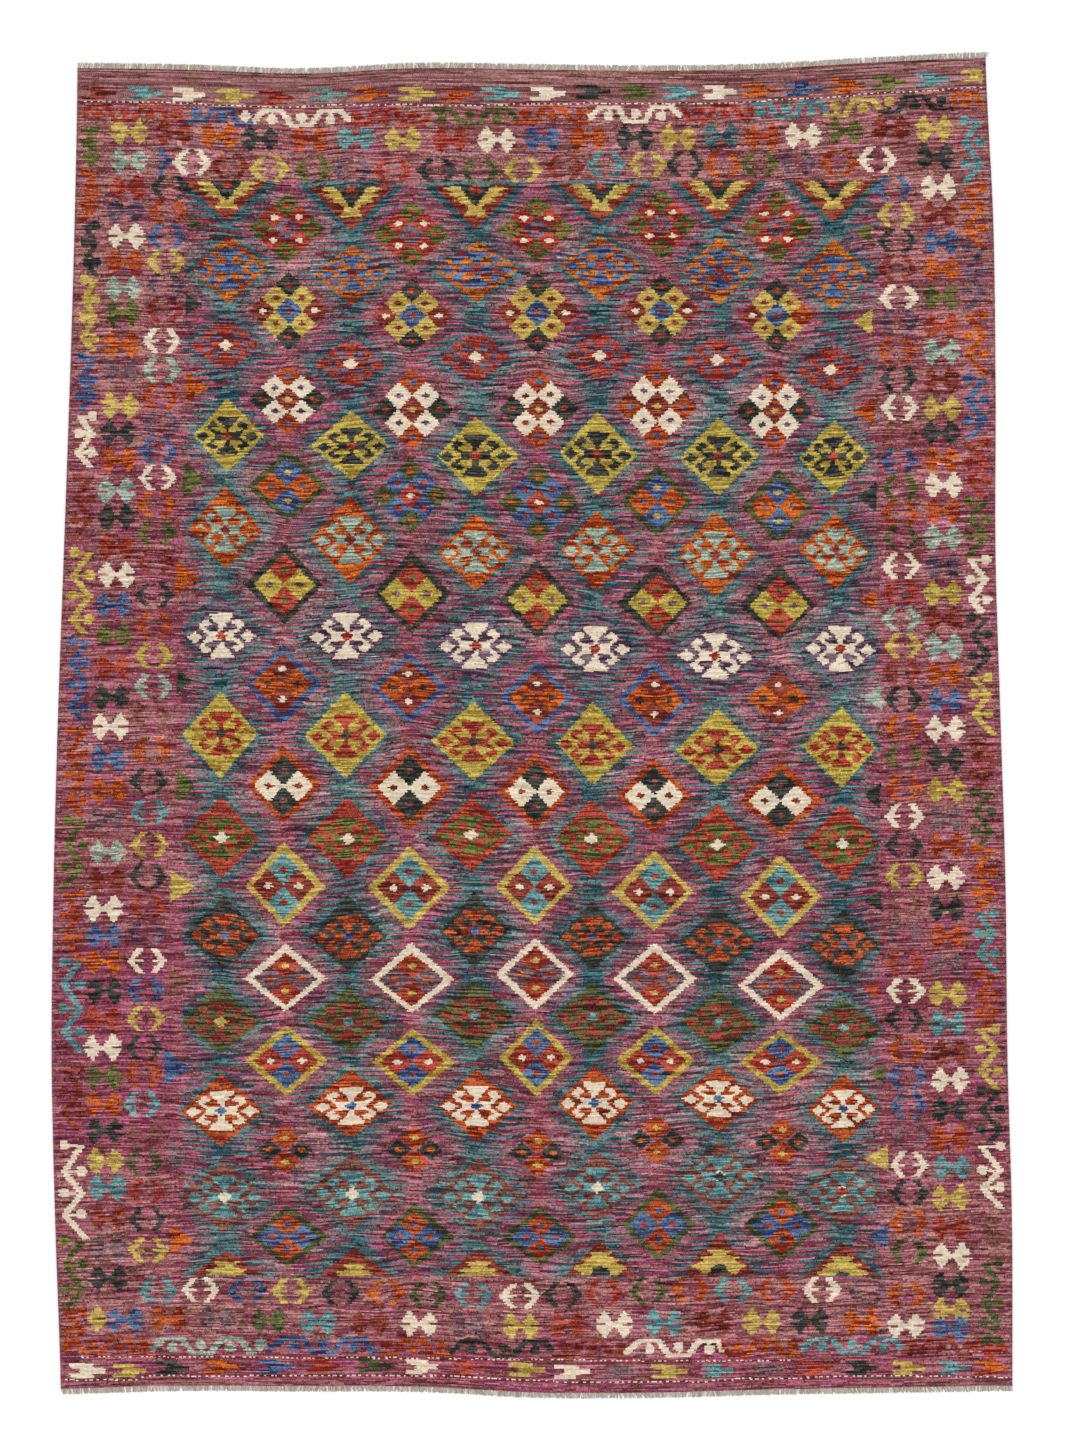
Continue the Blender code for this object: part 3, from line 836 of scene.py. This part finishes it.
# The end bands and the borders: roses, dustier near the ends, with a row of wine now and then.
weave_runs((beyond_twine > 0) & (cell_y < MIDDLE_DOWN),
           {"end_pale": 0.3, "end_mauve": 0.42, "end_wine": 0.28}, by_run(50, 260, each_row))
weave_runs(beyond_twine > 0,
           {"end_mauve": 0.2, "raspberry": 0.35, "magenta": 0.2, "wine": 0.26}, by_run(50, 260, each_row))
overlap = 14 * by_run(14, 40, each_row) - 7
is_border = (cell_x < FIELD_LEFT - 4 + overlap) | (cell_x > FIELD_RIGHT + 6 - overlap)
is_border |= (cell_y < FIELD_TOP) | (cell_y > FIELD_BOTTOM)
is_wine = by_run(16, 60, each_row) < 0.16
weave_runs(is_border & is_wine, {"wine": 1.01}, by_run(20, 60, each_row))
is_bright = (cell_x < 230) & (np.abs(cell_y - 1045) < 105)
weave_runs(is_border & is_bright, {"raspberry": 0.35, "magenta": 0.45, "wine": 0.21}, by_lot(16, 60, 0.2))
DUSTY_SHARES = ((240, 1.0), (480, 0.35), (900, 0.3), (1020, 0.0), (1120, 0.0), (1180, 0.5), (1280, 0.8),
                (1335, 0.8), (1350, 0.0))
is_dusty = by_run(20, 60, bundle) < read_line(DUSTY_SHARES, cell_y)
weave_runs(is_border & is_dusty, {"pale_rose": 0.14, "dusty_rose": 0.68, "raspberry": 0.19},
           by_lot(12, 40))
weave_runs(is_border, {"pale_rose": 0.14, "raspberry": 0.6, "magenta": 0.15, "wine": 0.12}, by_lot(12, 40))

# The field: bundles of teal and of rose take turns, and each runs on past its own ground.
TOOTH_START = 2.5
TOOTH_LENGTH = 24
turn = np.cumsum(weaver.uniform(0.18, 0.27, ROWS))[:, None]
tooth = np.abs(2 * (turn % 1) - 1)
past_teal = teal_reach - TOOTH_START
toward_rose = np.minimum(past_teal / np.clip(past_teal + rose_reach, 1, TOOTH_LENGTH), 0.88)
tooth_gets_here = tooth + 0.3 * by_run(14, 34, bundle) > 0.29 + 0.76 * toward_rose
is_teal = tooth_gets_here & (rose_reach > 0) | (past_teal < 0)
weave_runs(is_teal, {"sage": 0.18, "teal": 0.5, "wine": 0.08, "deep_teal": 0.25}, by_lot(12, 36))
weave_runs(~is_teal, {"pale_rose": 0.2, "rose": 0.5, "magenta": 0.18, "wine": 0.13}, by_lot(12, 36))


# ---------------------------------------------------------------- The woven cloth: its sheet
# The sheet itself, one block of the grid to three warps and three rows of the chart. It lies almost
# flat, with the slight swell that a laid rug keeps.
SWELL = 0.0011
RIM_ROUNDING = 0.0009

bm = bmesh.new()
chart_layer = bm.faces.layers.float_vector.new("chart")
place_layer = bm.loops.layers.uv.new("woven_place")
bake_layer = bm.loops.layers.uv.new("OFBake")
bmesh.ops.create_grid(bm, x_segments=BLOCKS_ACROSS, y_segments=BLOCKS_ALONG, size=0.5)
for face in bm.faces:
    middle = face.calc_center_median()
    warp = BLOCK * int((middle.x + 0.5) * BLOCKS_ACROSS)
    row = BLOCK * int((middle.y + 0.5) * BLOCKS_ALONG)
    # One number for each row of the block holds its three yarns.
    face[chart_layer] = [
        float(sum(chart[row + k, warp + i] * YARN_LIMIT**i for i in range(BLOCK))) for k in range(BLOCK)
    ]
    for loop in face.loops:
        loop[place_layer].uv = (loop.vert.co.x + 0.5, loop.vert.co.y + 0.5)
        loop[bake_layer].uv = (loop.vert.co.x + 0.5, loop.vert.co.y + 0.5)
for vert in bm.verts:
    i = round((vert.co.x + 0.5) * BLOCKS_ACROSS)
    j = round((vert.co.y + 0.5) * BLOCKS_ALONG)
    across, along = vert.co.x * 2, vert.co.y * 2
    calm = (1 - across**8) * (1 - along**8)
    swell = 0.28 * math.sin(5.1 * across + 2.3 * along) + 0.22 * math.sin(7.7 * along - 2.9 * across)
    vert.co = (knot_x[j, i], knot_y[j, i], SWELL * calm * (0.5 + swell))
raised = bmesh.ops.extrude_face_region(bm, geom=bm.faces[:], use_keep_orig=True)
top_verts = [item for item in raised["geom"] if isinstance(item, bmesh.types.BMVert)]
bmesh.ops.translate(bm, verts=top_verts, vec=(0.0, 0.0, THICKNESS))
bmesh.ops.recalc_face_normals(bm, faces=bm.faces)
rim = [
    edge for edge in bm.edges
    if edge.calc_face_angle() > 1.0 and abs(edge.verts[0].co.z - edge.verts[1].co.z) < THICKNESS / 2
]
bmesh.ops.bevel(bm, geom=rim, offset=RIM_ROUNDING, segments=2, profile=0.5, affect="EDGES", material=-1)
mesh = bpy.data.meshes.new("woven_kilim")
bm.to_mesh(mesh)
bm.free()
mesh.shade_smooth()
kilim = bpy.data.objects.new("woven_kilim", mesh)
bpy.context.scene.collection.objects.link(kilim)
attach(kilim, "root")
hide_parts("kilim_cloth")


# ---------------------------------------------------------------- The woven cloth: its wool
# Matte wool wefts beaten down over the warps. The chart's cells pick the yarn, the wefts show as
# fine lines of two shades, and each line swells over the warps in small beads. The beads and the
# roundness of the lines are bumps, and are also painted into the colour as shade.
wool = bpy.data.materials.new("striated_wool")
wool.use_nodes = True
tree = wool.node_tree
shader = tree.nodes["Principled BSDF"]
mesh.materials.append(wool)


def linear(colour):
    """A colour of 0 to 255 in sRGB, as linear light."""
    return tuple(
        c / 255 / 12.92 if c <= 10 else ((c / 255 + 0.055) / 1.055) ** 2.4 for c in colour
    ) + (1.0,)


def fill(socket, value):
    """Links a socket of the wool to another one, or sets it to a value."""
    if isinstance(value, bpy.types.NodeSocket):
        tree.links.new(value, socket)
    else:
        socket.default_value = value


def calc(operation, *values):
    """A math node's result."""
    node = tree.nodes.new("ShaderNodeMath")
    node.operation = operation
    for socket, value in zip(node.inputs, values):
        fill(socket, value)
    return node.outputs[0]


def plus(first, second):
    return calc("ADD", first, second)


def minus(first, second):
    return calc("SUBTRACT", first, second)


def times(first, second):
    return calc("MULTIPLY", first, second)


def separate(vector):
    """The three values of a vector."""
    node = tree.nodes.new("ShaderNodeSeparateXYZ")
    tree.links.new(vector, node.inputs[0])
    return node.outputs


def chance(first, second, third=0.0):
    """An even random value from 0 to 1 for each set of values."""
    vector = tree.nodes.new("ShaderNodeCombineXYZ")
    for socket, value in zip(vector.inputs, (first, second, third)):
        fill(socket, value)
    node = tree.nodes.new("ShaderNodeTexWhiteNoise")
    node.noise_dimensions = "3D"
    tree.links.new(vector.outputs[0], node.inputs["Vector"])
    return node.outputs["Value"]


def cell_in_block(blocks, shift):
    """Which of its block's three cells a place is in, from 0 to 2, with the borders shifted a little."""
    place_in_block = plus(times(calc("FRACT", blocks), float(BLOCK)), shift)
    return calc("FLOOR", calc("MINIMUM", 2.9, calc("MAXIMUM", 0.0, place_in_block)))


# The yarn of this cell.
place = tree.nodes.new("ShaderNodeUVMap")
place.uv_map = "woven_place"
u, v, _ = separate(place.outputs[0])
blocks_across = times(u, float(BLOCKS_ACROSS))
blocks_along = times(v, float(BLOCKS_ALONG))
column = calc("FLOOR", blocks_across)
tier = calc("FLOOR", blocks_along)
row_in_block = cell_in_block(blocks_along, times(minus(chance(tier, 5.0), 0.5), 0.7))
row = plus(times(tier, float(BLOCK)), row_in_block)
warp_in_block = cell_in_block(blocks_across, minus(chance(row, column, 9.0), 0.5))
cells = tree.nodes.new("ShaderNodeAttribute")
cells.attribute_name = "chart"
first, second, third = separate(cells.outputs["Vector"])
packed = times(first, calc("LESS_THAN", row_in_block, 0.5))
packed = plus(packed, times(second, calc("COMPARE", row_in_block, 1.0, 0.4)))
packed = plus(packed, times(third, calc("GREATER_THAN", row_in_block, 1.5)))
packed = calc("DIVIDE", plus(packed, 0.5), calc("POWER", float(YARN_LIMIT), warp_in_block))
yarn_number = calc("MODULO", calc("FLOOR", packed), float(YARN_LIMIT))

# The run of one shade that this cell is in, 25 to 90 mm long, and the chances of the run, of the
# bead over the warp and of each half of it.
row_chance = chance(row, 3.0)
run = calc("FLOOR", plus(times(u, plus(24.0, times(row_chance, 60.0))), times(row_chance, 37.0)))
run_chance = chance(row, run, 1.0)
other_chance = chance(row, run, 7.0)
warp = calc("FLOOR", times(u, float(WARPS)))
bead_chance = chance(row, warp, 4.0)
half_bead = calc("FLOOR", times(u, 2.0 * WARPS))
fibre_chance = chance(row, half_bead, 11.0)

# Each row swells over the warps in beads, which stand in turn every second row, and is round from
# edge to edge. Both shapes make the bump, and both are also painted into the colour as shade.
turned = times(calc("FLOOR", times(row, 0.5)), math.pi)
bead = calc("SINE", plus(times(u, WARPS * 2 * math.pi), turned))
row_roundness_and_shade = calc("SINE", times(calc("FRACT", times(blocks_along, float(BLOCK))), math.pi))


def yarn_colours(shade):
    """The yarns' main or second shades by their numbers, with how uneven they are as the alpha."""
    ramp = tree.nodes.new("ShaderNodeValToRGB")
    ramp.color_ramp.interpolation = "CONSTANT"
    stops = ramp.color_ramp.elements
    while len(stops) > 1:
        stops.remove(stops[-1])
    for number, yarn in enumerate(YARNS.values()):
        stop = stops[0] if number == 0 else stops.new(number / YARN_LIMIT)
        stop.position = number / YARN_LIMIT
        stop.color = linear(yarn[shade])[:3] + (yarn[2],)
    fill(ramp.inputs[0], calc("DIVIDE", plus(yarn_number, 0.5), float(YARN_LIMIT)))
    return ramp.outputs


# The two shades take turns by the run, and the beads of the end bands mix them too. On every yarn
# the beads' wave also shifts the shade a little, bead by bead, as painted shade of the beads.
is_end = calc("COMPARE", yarn_number, float(YARN_NUMBER["end_mauve"]), 1.4)
bead_shade_and_picks = times(bead, plus(0.16, times(is_end, times(other_chance, 0.4))))
second_share = plus(bead_shade_and_picks, times(minus(run_chance, 0.34), 2.4))
main_shade = yarn_colours(0)
shades = tree.nodes.new("ShaderNodeMix")
shades.data_type = "RGBA"
fill(shades.inputs[0], second_share)
fill(shades.inputs[6], main_shade["Color"])
fill(shades.inputs[7], yarn_colours(1)["Color"])

# Uneven spinning lightens and darkens them at random, and each row is painted lighter in its middle
# and darker at its edges, as shade between the rows. The ground's yarns change a little in hue.
spun = plus(plus(times(bead_chance, 0.50), times(fibre_chance, 0.60)), times(other_chance, 0.66))
lightness = times(minus(spun, 0.88), main_shade["Alpha"])
lightness = plus(plus(lightness, 0.61), times(row_roundness_and_shade, 0.26))
is_ground = calc("LESS_THAN", yarn_number, float(YARN_NUMBER["selvedge"]))
hue_change = minus(0.008, times(calc("POWER", other_chance, 2.0), 0.04))
dyed_and_shaded = tree.nodes.new("ShaderNodeHueSaturation")
fill(dyed_and_shaded.inputs["Color"], shades.outputs[2])
fill(dyed_and_shaded.inputs["Value"], lightness)
fill(dyed_and_shaded.inputs["Hue"], plus(0.5, times(hue_change, is_ground)))
fill(shader.inputs["Base Color"], dyed_and_shaded.outputs[0])
shader.inputs["Roughness"].default_value = 0.92
shader.inputs["Specular IOR Level"].default_value = 0.15
shader.inputs["Sheen Weight"].default_value = 0.05

relief = tree.nodes.new("ShaderNodeBump")
relief.inputs["Strength"].default_value = 0.5
relief.inputs["Distance"].default_value = 0.0006
fill(relief.inputs["Height"], plus(times(bead, 0.3), row_roundness_and_shade))
fill(shader.inputs["Normal"], relief.outputs[0])


# ---------------------------------------------------------------- The fringes
# The cut ends of the grey-beige wool warps, 10 to 14 mm long, that stand out of both ends of the
# cloth and lie on the floor. One in thirty or so has worn off.
WARP_ENDS = 1500
WORN_OFF = 0.03
END_HALF_WIDTH = 0.00115
END_HALF_THICKNESS = 0.00055
END_SHORTEST = 0.0112
END_LONGEST = 0.0138
ROOT_INSET = 0.001
ROOT_HEIGHT = 0.0016
ROOT_STAGGER = 0.0005
TAPER = 0.96
# each stretch's share of the length, and how much it drops
STRETCHES = ((0.35, -0.0003), (0.35, -0.0003), (0.30, -0.0002))

warp_wool = bpy.data.materials.new("undyed_warp_wool")
warp_wool.use_nodes = True
warp_tree = warp_wool.node_tree
strand_tone = warp_tree.nodes.new("ShaderNodeAttribute")
strand_tone.attribute_name = "strand_tone"
undyed = warp_tree.nodes.new("ShaderNodeValToRGB")
undyed.color_ramp.elements[0].color = linear((146, 135, 124))
undyed.color_ramp.elements[1].color = linear((232, 226, 216))
bright = undyed.color_ramp.elements.new(0.9)
bright.color = linear((188, 178, 165))
warp_tree.links.new(strand_tone.outputs["Fac"], undyed.inputs[0])
warp_shader = warp_tree.nodes["Principled BSDF"]
warp_tree.links.new(undyed.outputs[0], warp_shader.inputs["Base Color"])
warp_shader.inputs["Roughness"].default_value = 0.9
warp_shader.inputs["Specular IOR Level"].default_value = 0.15


def make_fringe(name, cad_node, edge_values, along, outward, seed):
    """The warp ends of one end of the cloth: flat strands, each drawn out in three stretches."""
    draw = random.Random(seed)
    shares = np.array([draw.uniform(0.2, 0.8) for _ in range(WARP_ENDS)])
    shares = (np.arange(WARP_ENDS) + shares) / WARP_ENDS
    root_x = knot_x[along][0] + (knot_x[along][-1] - knot_x[along][0]) * shares
    root_y = faceted(edge_values, shares) + shift_y
    bm = bmesh.new()
    tone_layer = bm.faces.layers.float.new("strand_tone")
    bmesh.ops.create_grid(bm, x_segments=2 * WARP_ENDS - 1, y_segments=1, size=0.5)
    faces = sorted(bm.faces, key=lambda face: face.calc_center_median().x)
    gone = [face for index, face in enumerate(faces) if index % 2 or draw.random() < WORN_OFF]
    for index, face in enumerate(faces):
        middle = face.calc_center_median()
        strand = index // 2
        face[tone_layer] = draw.random()
        if index % 2 == 0:
            height = ROOT_HEIGHT + ROOT_STAGGER * (strand * 0.618 % 1 - 0.5)
            for vert in face.verts:
                side = 1 if vert.co.x > middle.x else -1
                vert.co = (
                    root_x[strand] + side * END_HALF_WIDTH,
                    root_y[strand] - outward * ROOT_INSET,
                    height + math.copysign(END_HALF_THICKNESS, vert.co.y),
                )
    bmesh.ops.delete(bm, geom=gone, context="FACES")
    tips = bm.faces[:]
    spans = [draw.uniform(END_SHORTEST, END_LONGEST) for _ in tips]
    sways = [0.3 * math.sin(index / 23) + draw.uniform(-0.2, 0.45) for index in range(len(tips))]
    for part, drop in STRETCHES:
        tips = bmesh.ops.extrude_discrete_faces(bm, faces=tips)["faces"]
        for index, face in enumerate(tips):
            sways[index] += draw.uniform(-0.25, 0.25)
            middle = face.calc_center_median()
            step = Vector((sways[index] * part, outward * part, 0.0)) * spans[index]
            for vert in face.verts:
                vert.co = middle + (vert.co - middle) * TAPER + step
                vert.co.z += drop
    bmesh.ops.recalc_face_normals(bm, faces=bm.faces)
    mesh = bpy.data.meshes.new(name)
    bm.to_mesh(mesh)
    bm.free()
    fringe = bpy.data.objects.new(name, mesh)
    bpy.context.scene.collection.objects.link(fringe)
    mesh.materials.append(warp_wool)
    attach(fringe, "root")
    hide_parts(cad_node)
    return fringe


top_fringe = make_fringe("top_fringe", "fringe_top", TOP_EDGE, -1, 1.0, 5)
bottom_fringe = make_fringe("bottom_fringe", "fringe_bottom", BOTTOM_EDGE, 0, -1.0, 6)
